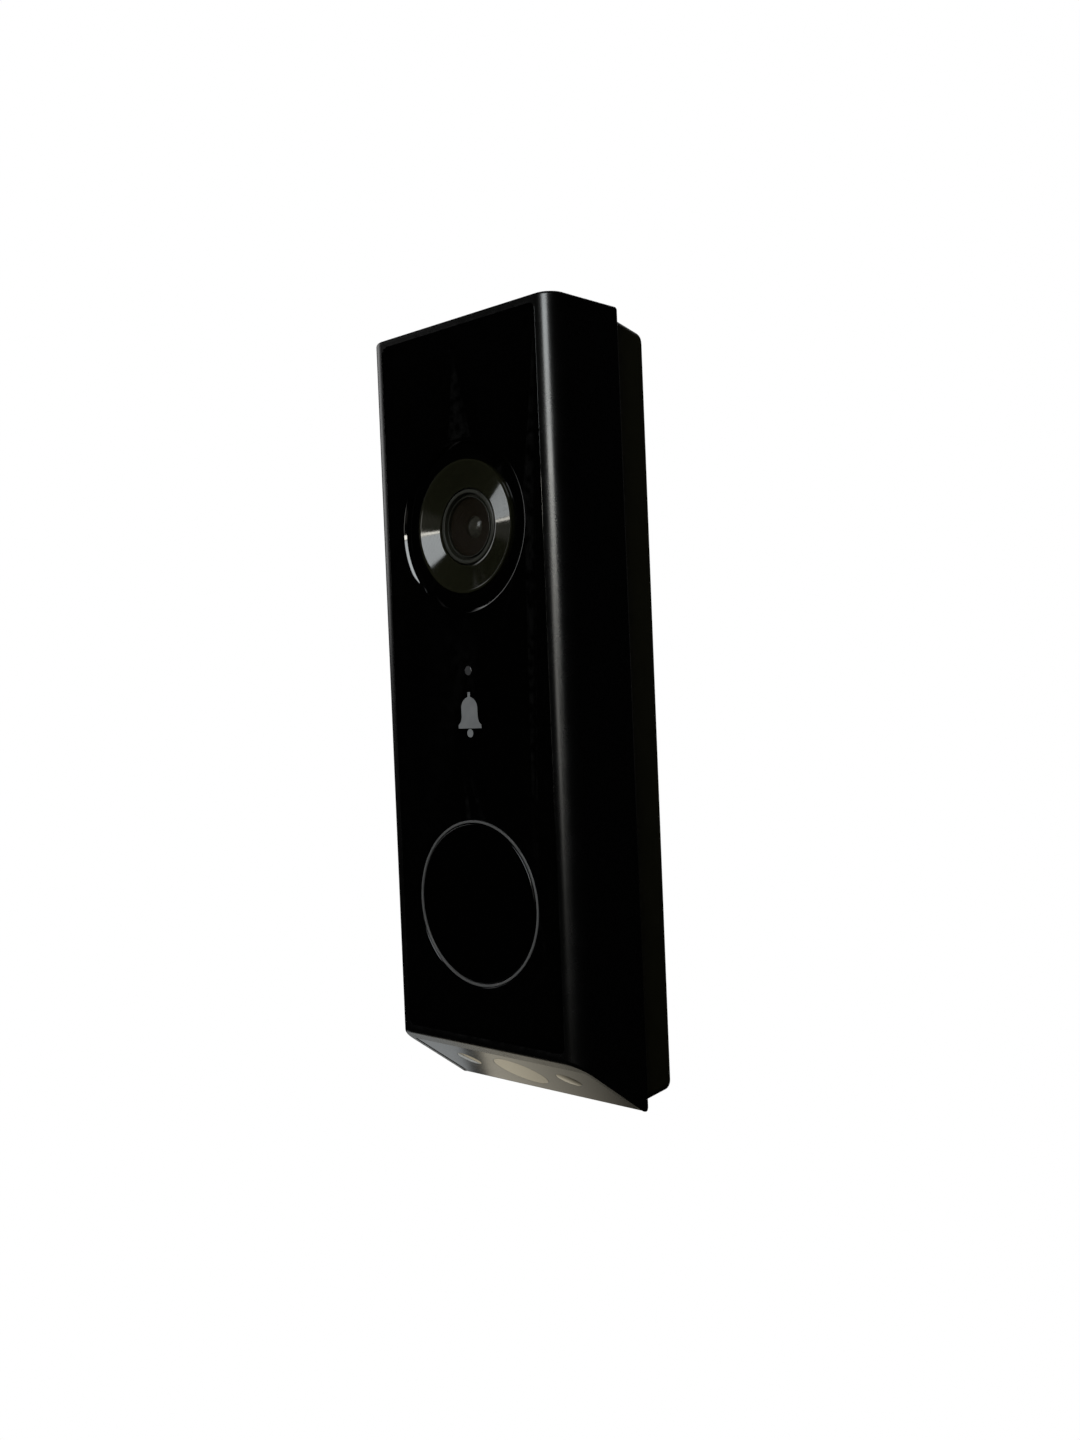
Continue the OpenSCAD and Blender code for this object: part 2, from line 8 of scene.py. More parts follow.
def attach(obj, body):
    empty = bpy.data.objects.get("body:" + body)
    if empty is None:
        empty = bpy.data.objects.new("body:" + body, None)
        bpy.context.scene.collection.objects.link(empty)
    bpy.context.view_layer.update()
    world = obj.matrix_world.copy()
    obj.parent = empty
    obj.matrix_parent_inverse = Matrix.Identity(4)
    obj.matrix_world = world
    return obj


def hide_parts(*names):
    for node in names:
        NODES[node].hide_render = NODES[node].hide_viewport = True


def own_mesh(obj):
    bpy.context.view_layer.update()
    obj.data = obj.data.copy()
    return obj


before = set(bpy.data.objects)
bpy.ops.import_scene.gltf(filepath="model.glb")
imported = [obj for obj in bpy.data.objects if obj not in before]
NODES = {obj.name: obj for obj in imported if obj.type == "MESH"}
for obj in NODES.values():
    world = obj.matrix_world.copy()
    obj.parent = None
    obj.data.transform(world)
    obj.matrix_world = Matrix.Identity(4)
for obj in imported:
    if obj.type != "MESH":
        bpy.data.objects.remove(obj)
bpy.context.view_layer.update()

MM = 0.001
SCENE = bpy.context.scene

# ------------------------------------------------------------ sizes, in millimetres

BODY_X, BODY_Z = 27.0, 82.5
FRONT_Y, BACK_Y = -31.5, -11.0
WALL = 1.6
EDGE_R, BACK_EDGE_R, TOP_ROUND, UNDER_ROUND, HEEL_R = 4.2, 0.7, 0.8, 0.6, 0.8
# Distances from the back where the side outline has points, so that the rounded heel is smooth
HEEL_STEPS = [2.6, 2.0, 1.5, 1.25, 1.0, 0.85]
BEVEL_H = 14.5
BEVEL_ANGLE = math.atan2(BEVEL_H, BACK_Y - FRONT_Y)
BOSSES = [(-19, 70), (19, 70), (-10, -58), (10, -58)]

# Room around a panel, least corner radius, and how far a cutting tool passes a face
GAP, LEAST_R, OVER = 0.1, 0.1, 1

PANEL_X, PANEL_Z0, PANEL_Z1, PANEL_CORNER, PANEL_EDGE = 22.75, -66.2, 80.7, 1.6, 0.05
PANEL_BACK = FRONT_Y + 2.4
LEDGE = (PANEL_BACK + 0.2, PANEL_BACK + 1.2)
SENSOR_Z, SENSOR_R, SENSOR_HOLE_R = 10.0, 1.0, 1.05
MIC_X, MIC_Z, MIC_R = -1.3, 76.4, 0.4
CLAPPER_Z, CLAPPER_R = -2.9, 0.9

LENS_Z, DISH_R, LENS_HOLE_R, GLASS_R = 39.8, 18.1, 14.0, 6.05
RIM_Y, CONE_LOW = FRONT_Y + 0.6, FRONT_Y + 1.6
BUTTON_Z, BUTTON_R, BUTTON_HOLE_R = -38.2, 16.475, 17.405
GUIDE_R, GUIDE_FACE_R = (16.675, 17.325), (16.78, 17.24)
# The camera's ring and the light ring both end in a flange behind the panel
FLANGE_Y, RING_BACK = PANEL_BACK + 0.05, FRONT_Y + 3.2

# Places on the sloping underside: x across, u down the slope
UNDER_X, UNDER_U, UNDER_CORNER = 24.9, (4.3, 23.3), 0.5
WINDOW_U, WINDOW_R = 13.2, 6.35
LAMP_X, LAMP_U, LAMP_R = 14.7, 12.0, 2.9
WINDOW_FIT = 0.01

# Rear housing where it meets the body, and how much it draws in over its depth
REAR_X, REAR_LOW, REAR_TOP = 25.8, -80.7, 81.2
REAR_TAPER, REAR_LOW_TAPER, REAR_TOP_TAPER = 1.1, 0.3, 1.6
REAR_BACK, REAR_CORNER, REAR_ROUND = -0.4, 2.4, 0.9
LATCH_Y = -3.4

# ------------------------------------------------------------ local frames

# Local x across, local y up, local z back from the front
FRONT = Matrix(((1, 0, 0, 0), (0, 0, 1, 0), (0, 1, 0, 0), (0, 0, 0, 1)))
FLAT = Matrix.Identity(4)
# Local x across, local y down the sloping underside, local z into the body
UNDER = Matrix.Translation((0, FRONT_Y, BEVEL_H - BODY_Z)) @ Matrix.Rotation(-BEVEL_ANGLE, 4, "X")


def at(matrix, x, y):
    return matrix @ Matrix.Translation((x, y, 0))


# ------------------------------------------------------------ camera

CAMERA_PLACE = (202.744, -226.998, 4.163)
CAMERA_TURN, CAMERA_TILT, CAMERA_ROLL = 43.092, 88.9985, -2.322
LENS_MM, SENSOR_MM = 34.076, 36.0


def add_camera():
    data = bpy.data.cameras.new("camera")
    data.lens = LENS_MM
    data.sensor_width = SENSOR_MM
    data.clip_start = 0.01
    camera = bpy.data.objects.new("camera", data)
    camera.matrix_world = (
        Matrix.Translation(Vector(CAMERA_PLACE) * MM)
        @ Matrix.Rotation(math.radians(CAMERA_TURN), 4, "Z")
        @ Matrix.Rotation(math.radians(CAMERA_TILT), 4, "X")
        @ Matrix.Rotation(math.radians(CAMERA_ROLL), 4, "Z")
    )
    SCENE.collection.objects.link(camera)
    SCENE.camera = camera


# ------------------------------------------------------------ stage and light

WHITE = (1.0, 1.0, 1.0)


def link(tree, source, target):
    tree.links.new(source, target)


def node(tree, kind, **settings):
    made = tree.nodes.new(kind)
    for name, value in settings.items():
        setattr(made, name, value)
    return made


def set_inputs(made, **values):
    for name, value in values.items():
        made.inputs[name.replace("_", " ")].default_value = value
    return made


def rgba(colour):
    return (*colour, 1.0)


def add_world(for_diffuse=0.55, for_gloss=0.003):
    """White to the camera, soft to matt surfaces, nearly black in reflections."""
    world = bpy.data.worlds.new("studio")
    SCENE.world = world
    world.use_nodes = True
    tree = world.node_tree
    tree.nodes.clear()
    path = node(tree, "ShaderNodeLightPath")
    strength = node(tree, "ShaderNodeMapRange")
    set_inputs(strength, To_Min=for_gloss, To_Max=for_diffuse)
    link(tree, path.outputs["Is Diffuse Ray"], strength.inputs["Value"])
    soft = node(tree, "ShaderNodeBackground")
    link(tree, strength.outputs["Result"], soft.inputs["Strength"])
    plain = set_inputs(node(tree, "ShaderNodeBackground"), Color=rgba(WHITE), Strength=1.0)
    mix = node(tree, "ShaderNodeMixShader")
    link(tree, path.outputs["Is Camera Ray"], mix.inputs[0])
    link(tree, soft.outputs[0], mix.inputs[1])
    link(tree, plain.outputs[0], mix.inputs[2])
    out = node(tree, "ShaderNodeOutputWorld")
    link(tree, mix.outputs[0], out.inputs[0])


def stage_card(name, centre, toward, size, material):
    """Flat stage rectangle facing a point."""
    mesh = bpy.data.meshes.new(name)
    x, y = size[0] / 2, size[1] / 2
    mesh.from_pydata([(-x, -y, 0), (x, -y, 0), (x, y, 0), (-x, y, 0)], [], [(0, 1, 2, 3)])
    mesh.materials.append(material)
    card = bpy.data.objects.new(name, mesh)
    SCENE.collection.objects.link(card)
    aim = Vector(toward) - Vector(centre)
    card.rotation_euler = aim.to_track_quat("Z", "Y").to_euler()
    card.location = centre
    return card


def glow_material(name, colour, strength, fade_x=0.0, fade_y=0.0, half=(1, 1), lean=0.0):
    """One-sided emitter; it fades over those shares of its size and can be brighter towards +x."""
    material = bpy.data.materials.new(name)
    material.use_nodes = True
    tree = material.node_tree
    tree.nodes.clear()
    place = node(tree, "ShaderNodeTexCoord")
    split = node(tree, "ShaderNodeSeparateXYZ")
    link(tree, place.outputs["Object"], split.inputs[0])
    tilt = node(tree, "ShaderNodeMapRange")
    set_inputs(tilt, From_Min=-half[0], From_Max=half[0], To_Min=1.0 - lean, To_Max=1.0 + lean)
    link(tree, split.outputs["X"], tilt.inputs["Value"])
    value = tilt.outputs["Result"]
    for axis, fade, reach in (("X", fade_x, half[0]), ("Y", fade_y, half[1])):
        if not fade:
            continue
        size = node(tree, "ShaderNodeMath", operation="ABSOLUTE")
        link(tree, split.outputs[axis], size.inputs[0])
        ramp = node(tree, "ShaderNodeMapRange", interpolation_type="SMOOTHSTEP")
        set_inputs(ramp, From_Min=reach * (1 - fade), From_Max=reach, To_Min=1.0, To_Max=0.0)
        link(tree, size.outputs[0], ramp.inputs["Value"])
        both = node(tree, "ShaderNodeMath", operation="MULTIPLY")
        link(tree, value, both.inputs[0])
        link(tree, ramp.outputs["Result"], both.inputs[1])
        value = both.outputs[0]
    emit = set_inputs(node(tree, "ShaderNodeEmission"), Color=rgba(colour))
    scaled = node(tree, "ShaderNodeMath", operation="MULTIPLY")
    scaled.inputs[1].default_value = strength
    link(tree, value, scaled.inputs[0])
    link(tree, scaled.outputs[0], emit.inputs["Strength"])
    front = node(tree, "ShaderNodeNewGeometry")
    none = node(tree, "ShaderNodeBsdfTransparent")
    mix = node(tree, "ShaderNodeMixShader")
    link(tree, front.outputs["Backfacing"], mix.inputs[0])
    link(tree, emit.outputs[0], mix.inputs[1])
    link(tree, none.outputs[0], mix.inputs[2])
    out = node(tree, "ShaderNodeOutputMaterial")
    link(tree, mix.outputs[0], out.inputs[0])
    return material


def softbox(name, azimuth, elevation, distance, size, strength, colour=WHITE, fade=(0.5, 0.5)):
    """Glowing card around the object; azimuth is measured from the front towards the right."""
    aim = (0, -0.02, 0)
    az, el = math.radians(azimuth), math.radians(elevation)
    way = Vector((math.sin(az) * math.cos(el), -math.cos(az) * math.cos(el), math.sin(el)))
    half = (size[0] / 2, size[1] / 2)
    glow = glow_material(name, colour, strength, *fade, half=half)
    card = stage_card(name, Vector(aim) + way * distance, aim, size, glow)
    card.visible_camera = False


def under_card(name, x, strength, colour, lean=0.0):
    """Level card below the object, facing up, for the gloss underside to reflect."""
    y, height, fade = (-0.03, 0.12), -0.16, (0.03, 0.3)
    size = (x[1] - x[0], y[1] - y[0])
    glow = glow_material(name, colour, strength, *fade, half=(size[0] / 2, size[1] / 2), lean=lean)
    centre = ((x[0] + x[1]) / 2, (y[0] + y[1]) / 2, height)
    card = stage_card(name, centre, (centre[0], centre[1], 1), size, glow)
    card.visible_camera = False


def add_floor(height=-0.2, half=0.28):
    """Pale floor: plain white to the camera, faintly lit otherwise."""
    material = bpy.data.materials.new("floor_white")
    material.use_nodes = True
    tree = material.node_tree
    tree.nodes.clear()
    path = node(tree, "ShaderNodeLightPath")
    strength = set_inputs(node(tree, "ShaderNodeMapRange"), To_Min=0.004, To_Max=1.0)
    link(tree, path.outputs["Is Camera Ray"], strength.inputs["Value"])
    emit = set_inputs(node(tree, "ShaderNodeEmission"), Color=rgba(WHITE))
    link(tree, strength.outputs["Result"], emit.inputs["Strength"])
    out = node(tree, "ShaderNodeOutputMaterial")
    link(tree, emit.outputs[0], out.inputs[0])
    stage_card("floor", (0, 0, height), (0, 0, 1), (2 * half, 2 * half), material)


def add_lights():
    SCENE.view_settings.view_transform = "Standard"
    softbox("key_softbox", azimuth=19, elevation=29.5, distance=0.75, size=(0.34, 0.444),
            strength=9.6, colour=(0.93, 0.98, 1.0), fade=(0.15, 0.04))
    softbox("strip_softbox", azimuth=19, elevation=11.3, distance=0.75, size=(0.34, 0.044),
            strength=22.0, colour=(1.0, 0.97, 0.88), fade=(0.15, 0.2))
    softbox("sill_softbox", azimuth=19, elevation=-3, distance=0.75, size=(0.34, 0.16),
            strength=0.12, colour=(1.0, 0.96, 0.84), fade=(0.15, 0.5))
    softbox("low_softbox", azimuth=5, elevation=1.5, distance=0.75, size=(0.24, 0.24),
            strength=3.0, colour=(1.0, 0.98, 0.92), fade=(0.4, 0.4))
    softbox("left_softbox", azimuth=-80, elevation=20.5, distance=0.7, size=(0.46, 0.5), strength=1.6)
    softbox("rear_softbox", azimuth=-150, elevation=35, distance=0.8, size=(0.5, 0.5),
            strength=2.5, fade=(0.6, 0.6))
    softbox("rear_glimmer", azimuth=178, elevation=8, distance=0.8, size=(0.3, 0.6),
            strength=0.09, fade=(0.6, 0.6))
    under_card("under_card_left", x=(-0.2, -0.1265), strength=0.52, colour=(0.94, 0.985, 1.0))
    under_card("under_card_right", x=(-0.119, -0.052), strength=0.38, colour=(1.0, 0.93, 0.76), lean=0.95)


# ------------------------------------------------------------ mesh helpers


def rounded(points, radii, steps=5):
    """Closed outline whose corners become arcs of the given radii."""
    out = []
    count = len(points)
    for i, (point, radius) in enumerate(zip(points, radii)):
        here = Vector(point)
        if radius <= 0:
            out.append(tuple(here))
            continue
        before = Vector(points[i - 1]) - here
        after = Vector(points[(i + 1) % count]) - here
        half = before.angle(after) / 2
        reach = min(radius / math.tan(half), 0.49 * before.length, 0.49 * after.length)
        radius = reach * math.tan(half)
        middle = (before.normalized() + after.normalized()).normalized()
        centre = here + middle * (radius / math.sin(half))
        first = here + before.normalized() * reach - centre
        last = here + after.normalized() * reach - centre
        start = math.atan2(first.y, first.x)
        turn = math.atan2(last.y, last.x) - start
        turn = (turn + math.pi) % (2 * math.pi) - math.pi
        for k in range(steps + 1):
            a = start + turn * k / steps
            out.append((centre.x + radius * math.cos(a), centre.y + radius * math.sin(a)))
    return out


def rect(x0, x1, y0, y1, radius=0.0, steps=8):
    points = [(x0, y0), (x1, y0), (x1, y1), (x0, y1)]
    return rounded(points, [radius] * 4, steps)


def circle(radius, x=0.0, y=0.0, steps=64):
    turns = [2 * math.pi * (i + 0.37) / steps for i in range(steps)]
    return [(x + radius * math.cos(a), y + radius * math.sin(a)) for a in turns]


def as_object(bm, name, matrix):
    """Turns a bmesh in a local frame into an object in the part's frame, still in millimetres."""
    bmesh.ops.transform(bm, matrix=matrix, verts=bm.verts)
    bmesh.ops.recalc_face_normals(bm, faces=bm.faces)
    mesh = bpy.data.meshes.new(name)
    bm.to_mesh(mesh)
    bm.free()
    made = bpy.data.objects.new(name, mesh)
    SCENE.collection.objects.link(made)
    return made


def loft_bm(rings):
    """Closed solid through rings of equal count; each ring is a list of 3-D points."""
    bm = bmesh.new()
    rows = [[bm.verts.new(p) for p in ring] for ring in rings]
    for low, high in zip(rows, rows[1:]):
        for i in range(len(low)):
            j = (i + 1) % len(low)
            bm.faces.new((low[i], low[j], high[j], high[i]))
    bm.faces.new(rows[0][::-1])
    bm.faces.new(rows[-1])
    return bm


def prism(name, outline, z0, z1, matrix=FRONT):
    return as_object(loft_bm([[(x, y, z) for x, y in outline] for z in (z0, z1)]), name, matrix)


def block(name, x, y, z, matrix=FLAT):
    return prism(name, rect(*x, *y), *z, matrix)


def plate(name, x, y, corner, rows, matrix=FRONT, steps=10):
    """Rounded-rectangle solid; rows are (how far it grows outwards, local z)."""
    rings = []
    for grow, z in rows:
        radius = max(corner + grow, LEAST_R / 2)
        outline = rect(x[0] - grow, x[1] + grow, y[0] - grow, y[1] + grow, radius, steps)
        rings.append([(a, b, z) for a, b in outline])
    return as_object(loft_bm(rings), name, matrix)


def lathe(name, profile, matrix=FRONT, steps=192):
    """Turned solid about local z; the profile is a closed outline of (radius, local z)."""
    bm = bmesh.new()
    rings = []
    for radius, z in profile:
        if radius < 1e-6:
            rings.append([bm.verts.new((0, 0, z))] * steps)
        else:
            rings.append([bm.verts.new((x, y, z)) for x, y in circle(radius, steps=steps)])
    for low, high in zip(rings, rings[1:] + rings[:1]):
        for i in range(steps):
            j = (i + 1) % steps
            corners = list(dict.fromkeys((low[i], low[j], high[j], high[i])))
            if len(corners) > 2:
                bm.faces.new(corners)
    return as_object(bm, name, matrix)


def tube(name, radius, z0, z1, matrix=FRONT, steps=96):
    return lathe(name, [(0, z0), (radius, z0), (radius, z1), (0, z1)], matrix, steps)


def carve(piece, *tools, operation="DIFFERENCE"):
    """Cuts the tools out of a piece, or adds them to it, and removes them."""
    for tool in tools:
        step = piece.modifiers.new("carve", "BOOLEAN")
        step.operation = operation
        step.solver = "EXACT"
        step.object = tool
        bpy.context.view_layer.update()
        seen = piece.evaluated_get(bpy.context.evaluated_depsgraph_get())
        mesh = bpy.data.meshes.new_from_object(seen)
        piece.modifiers.clear()
        old = piece.data
        piece.data = mesh
        bpy.data.meshes.remove(old)
        bpy.data.objects.remove(tool)
    return piece


def add(piece, *tools):
    return carve(piece, *tools, operation="UNION")


MATERIALS = {}


def dress(piece, body, slot, *nodes, smooth=32):
    """Scale to metres, smooth shading, finish, CAD nodes it stands for and the body it rides on."""
    least_edge = 0.0005
    bm = bmesh.new()
    bm.from_mesh(piece.data)
    bmesh.ops.remove_doubles(bm, verts=bm.verts, dist=least_edge)
    bmesh.ops.dissolve_degenerate(bm, edges=bm.edges, dist=least_edge)
    bmesh.ops.transform(bm, matrix=Matrix.Scale(MM, 4), verts=bm.verts)
    bm.to_mesh(piece.data)
    bm.free()
    for polygon in piece.data.polygons:
        polygon.use_smooth = True
    piece.data.set_sharp_from_angle(angle=math.radians(smooth))
    piece.data.materials.clear()
    piece.data.materials.append(MATERIALS[slot])
    normals = piece.modifiers.new("normals", "WEIGHTED_NORMAL")
    normals.keep_sharp = True
    normals.weight = 100
    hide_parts(*nodes)
    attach(piece, body)
    return piece


# ------------------------------------------------------------ materials


def surface(
    name, colour, rough, tone=0.2, tone_size=7.0, rough_spread=0.06, grain=0.35, bump=0.12, depth=0.02,
    stretch=(1, 1, 1), wear=0.0, wear_colour=(0.3, 0.3, 0.3), pattern=None, **constants
):
    """Procedural finish; sizes are millimetres, and constants are the shader's own fixed values."""
    material = bpy.data.materials.new(name)
    material.use_nodes = True
    tree = material.node_tree
    shader = tree.nodes["Principled BSDF"]
    for label, value in constants.items():
        shader.inputs[label.replace("_", " ")].default_value = value
    place = node(tree, "ShaderNodeTexCoord")
    mapping = node(tree, "ShaderNodeMapping")
    mapping.inputs["Scale"].default_value = stretch
    link(tree, place.outputs["Object"], mapping.inputs["Vector"])

    def noise(size, detail):
        made = node(tree, "ShaderNodeTexNoise")
        set_inputs(made, Scale=1 / (size * MM), Detail=detail, Roughness=0.55)
        link(tree, mapping.outputs[0], made.inputs["Vector"])
        return made.outputs["Fac"]

    broad = noise(tone_size, 4)
    fine = noise(grain, 3)

    base = node(tree, "ShaderNodeMix", data_type="RGBA")
    base.inputs["A"].default_value = rgba([c * (1 - tone) for c in colour])
    base.inputs["B"].default_value = rgba([min(1, c * (1 + tone)) for c in colour])
    link(tree, broad, base.inputs["Factor"])
    shade = base.outputs["Result"]
    height = fine
    if pattern:
        shade, height = pattern(tree, mapping, shade)

    if wear:
        geometry = node(tree, "ShaderNodeNewGeometry")
        edge = node(tree, "ShaderNodeMapRange")
        set_inputs(edge, From_Min=0.52, From_Max=0.62, To_Min=0.0, To_Max=wear)
        link(tree, geometry.outputs["Pointiness"], edge.inputs["Value"])
        patchy = node(tree, "ShaderNodeMapRange")
        set_inputs(patchy, From_Min=0.4, From_Max=0.65)
        link(tree, noise(1.6, 5), patchy.inputs["Value"])
        amount = node(tree, "ShaderNodeMath", operation="MULTIPLY")
        link(tree, edge.outputs["Result"], amount.inputs[0])
        link(tree, patchy.outputs["Result"], amount.inputs[1])
        worn = node(tree, "ShaderNodeMix", data_type="RGBA")
        worn.inputs["B"].default_value = rgba(wear_colour)
        link(tree, amount.outputs[0], worn.inputs["Factor"])
        link(tree, shade, worn.inputs["A"])
        shade = worn.outputs["Result"]
    link(tree, shade, shader.inputs["Base Color"])

    roughness = node(tree, "ShaderNodeMapRange")
    low, high = max(rough - rough_spread, 0.0), min(rough + rough_spread, 1.0)
    set_inputs(roughness, To_Min=low, To_Max=high)
    link(tree, broad, roughness.inputs["Value"])
    link(tree, roughness.outputs["Result"], shader.inputs["Roughness"])

    if bump:
        relief = set_inputs(node(tree, "ShaderNodeBump"), Strength=bump, Distance=depth * MM)
        link(tree, height, relief.inputs["Height"])
        link(tree, relief.outputs["Normal"], shader.inputs["Normal"])
    MATERIALS[name] = material


def striped(width, colour, direction="X"):
    """Pattern of parallel lines, such as conductors or slats."""

    def apply(tree, mapping, shade):
        wave = node(tree, "ShaderNodeTexWave", wave_type="BANDS", bands_direction=direction)
        # A wave texture repeats at about 0.32 / Scale
        set_inputs(wave, Scale=0.32 / (width * MM), Distortion=0.0, Detail=0.0)
        link(tree, mapping.outputs[0], wave.inputs["Vector"])
        step = set_inputs(node(tree, "ShaderNodeMapRange"), From_Min=0.55, From_Max=0.7)
        link(tree, wave.outputs["Fac"], step.inputs["Value"])
        mix = node(tree, "ShaderNodeMix", data_type="RGBA")
        mix.inputs["B"].default_value = rgba(colour)
        link(tree, step.outputs["Result"], mix.inputs["Factor"])
        link(tree, shade, mix.inputs["A"])
        return mix.outputs["Result"], wave.outputs["Fac"]

    return apply


def cells(size, colour, low=0.02, high=0.2):
    """Pattern of closed cells, such as foam or circuit pads."""

    def apply(tree, mapping, shade):
        voronoi = node(tree, "ShaderNodeTexVoronoi", feature="DISTANCE_TO_EDGE")
        set_inputs(voronoi, Scale=1 / (size * MM))
        link(tree, mapping.outputs[0], voronoi.inputs["Vector"])
        step = set_inputs(node(tree, "ShaderNodeMapRange"), From_Min=low, From_Max=high)
        link(tree, voronoi.outputs["Distance"], step.inputs["Value"])
        mix = node(tree, "ShaderNodeMix", data_type="RGBA")
        mix.inputs["A"].default_value = rgba(colour)
        link(tree, step.outputs["Result"], mix.inputs["Factor"])
        link(tree, shade, mix.inputs["B"])
        return mix.outputs["Result"], step.outputs["Result"]

    return apply


def make_materials():
    grey_wear = (0.05, 0.05, 0.05)
    surface("shell_black", (0.0004, 0.0004, 0.0004), 0.27, grain=0.22, bump=0.10, depth=0.01, wear=0.3,
            wear_colour=(0.02, 0.02, 0.02))
    surface("panel_gloss", (0.0002, 0.0002, 0.0002), 0.05, rough_spread=0.02, grain=2.5, bump=0.02,
            depth=0.01, wear=0.2, wear_colour=(0.01, 0.01, 0.01))
    surface("button_gloss", (0.0002, 0.0002, 0.0002), 0.06, rough_spread=0.02, grain=2.5, bump=0.02,
            depth=0.01)
    surface("bezel_black", (0.0055, 0.0056, 0.003), 0.1, rough_spread=0.03, tone_size=4, grain=0.3,
            bump=0.05, depth=0.01, Specular_IOR_Level=0.4)
    surface("camera_glass", (0.004, 0.0035, 0.002), 0.03, rough_spread=0.01, bump=0.0, Alpha=0.35)
    surface("lens_ring_grey", (0.0075, 0.008, 0.0046), 0.45, tone_size=3, grain=0.2, bump=0.1)
    surface("lens_baffle", (0.014, 0.0072, 0.0028), 0.5, tone_size=2, grain=0.15, bump=0.2)
    surface("lens_glass", (0.075, 0.073, 0.06), 0.06, rough_spread=0.03, tone=0.9, tone_size=0.7,
            bump=0.1, IOR=1.7)
    surface("light_guide", (0.055, 0.055, 0.055), 0.3, tone_size=5, grain=0.4, bump=0.06)
    surface("sensor_grey", (0.025, 0.025, 0.026), 0.15, tone_size=1, bump=0.04)
    surface("symbol_grey", (0.1, 0.103, 0.106), 0.4, tone_size=2, grain=0.2, bump=0.08)
    surface("underside_gloss", (0.003, 0.003, 0.0025), 0.1, rough_spread=0.03, tone_size=5, grain=0.3,
            bump=0.03, depth=0.01)
    surface("down_window", (0.34, 0.315, 0.25), 0.13, tone=0.1, rough_spread=0.03, tone_size=4,
            bump=0.02, Metallic=0.95)
    surface("lamp_window", (0.34, 0.31, 0.25), 0.16, tone=0.1, tone_size=2, grain=0.4, bump=0.04,
            Metallic=0.95)
    surface("rear_matte", (0.006, 0.0055, 0.0016), 0.55, tone=0.25, grain=0.25, bump=0.3, wear=0.3,
            wear_colour=grey_wear, Specular_IOR_Level=0.12)
    surface("bracket_black", (0.022, 0.022, 0.021), 0.5, grain=0.25, bump=0.25, wear=0.4,
            wear_colour=grey_wear)
    surface("inner_black", (0.012, 0.012, 0.012), 0.55, grain=0.3, bump=0.2, wear=0.2)
    surface("rubber_black", (0.011, 0.011, 0.011), 0.7, grain=0.2, bump=0.25)
    surface("seal_grey", (0.09, 0.092, 0.095), 0.65, grain=0.2, bump=0.2)
    surface("foam_grey", (0.05, 0.05, 0.05), 0.9, bump=0.6, depth=0.15,
            pattern=cells(0.45, (0.015, 0.015, 0.015)))
    surface("spring_steel", (0.55, 0.55, 0.56), 0.25, grain=0.2, bump=0.08, Metallic=1.0)
    surface("screw_steel", (0.5, 0.5, 0.51), 0.3, grain=0.15, bump=0.12, wear=0.4,
            wear_colour=(0.7, 0.7, 0.7), Metallic=1.0)
    surface("shield_tin", (0.58, 0.58, 0.59), 0.35, grain=0.3, bump=0.15, stretch=(1, 1, 8), Metallic=1.0)
    surface("contact_gold", (0.8, 0.55, 0.22), 0.25, grain=0.2, bump=0.1, wear=0.3,
            wear_colour=(0.9, 0.75, 0.5), Metallic=1.0)
    surface("sensor_chip", (0.025, 0.03, 0.045), 0.2, bump=0.15, depth=0.01,
            pattern=cells(0.5, (0.06, 0.06, 0.07)))
    surface("board_green", (0.008, 0.06, 0.025), 0.35, bump=0.3,
            pattern=striped(0.6, (0.02, 0.13, 0.05), "DIAGONAL"))
    surface("flex_amber", (0.32, 0.13, 0.02), 0.3, bump=0.2, pattern=striped(0.5, (0.45, 0.24, 0.06)))
    surface("cell_wrap", (0.03, 0.12, 0.32), 0.3, grain=0.8, bump=0.1, wear=0.2)
    surface("led_white", (0.75, 0.72, 0.55), 0.35, tone_size=1, bump=0.1, Subsurface_Weight=0.2)
    surface("switch_grey", (0.35, 0.35, 0.36), 0.45, grain=0.2, bump=0.15, wear=0.2)
    surface("adhesive_tape", (0.12, 0.115, 0.1), 0.75, grain=0.25, bump=0.25)


# ------------------------------------------------------------ front body


def body_section(inset, z, back, back_r):
    """Plan outline of the body at one height, drawn in by inset."""
    x, front = BODY_X - inset, FRONT_Y + inset
    front_r = EDGE_R - inset
    corners = [(-x, front), (x, front), (x, back), (-x, back)]
    points = rounded(corners, [front_r, front_r, back_r, back_r], 20)
    half = len(points) // 2
    right = [(x, back - step) for step in HEEL_STEPS]
    left = [(-x, back - step) for step in reversed(HEEL_STEPS)]
    return [(a, b, z) for a, b in points[:half] + right + points[half:] + left]


def above_underside(y, clear):
    """Height of a point that is clear of the sloping underside by the given distance."""
    steep = math.tan(BEVEL_ANGLE)
    slope = BEVEL_H - BODY_Z - (y - FRONT_Y) * steep + clear / math.cos(BEVEL_ANGLE)
    middle = BACK_Y - HEEL_R
    if y < middle - HEEL_R * math.sin(BEVEL_ANGLE):
        return slope
    # The heel, where the underside rounds up into the back; its centre is found from a place ahead of it
    radius = HEEL_R - min(clear, HEEL_R)
    ahead = 9.0
    centre = above_underside(middle - ahead, HEEL_R) - ahead * steep
    away = max(-radius, min(radius, y - middle))
    return max(slope, centre - math.sqrt(max(radius * radius - away * away, 0)))


def body_loft(name, under_rows, top_rows, back, back_r):
    """Body-shaped solid; rows are (inset, clearance from the underside or height)."""
    rings = []
    for inset, clear in under_rows:
        ring = body_section(inset, 0, back - inset, max(back_r - inset, LEAST_R))
        rings.append([(x, y, above_underside(y, clear)) for x, y, _ in ring])
    for inset, z in top_rows:
        rings.append(body_section(inset, z, back - inset, max(back_r - inset, LEAST_R)))
    return as_object(loft_bm(rings), name, FLAT)


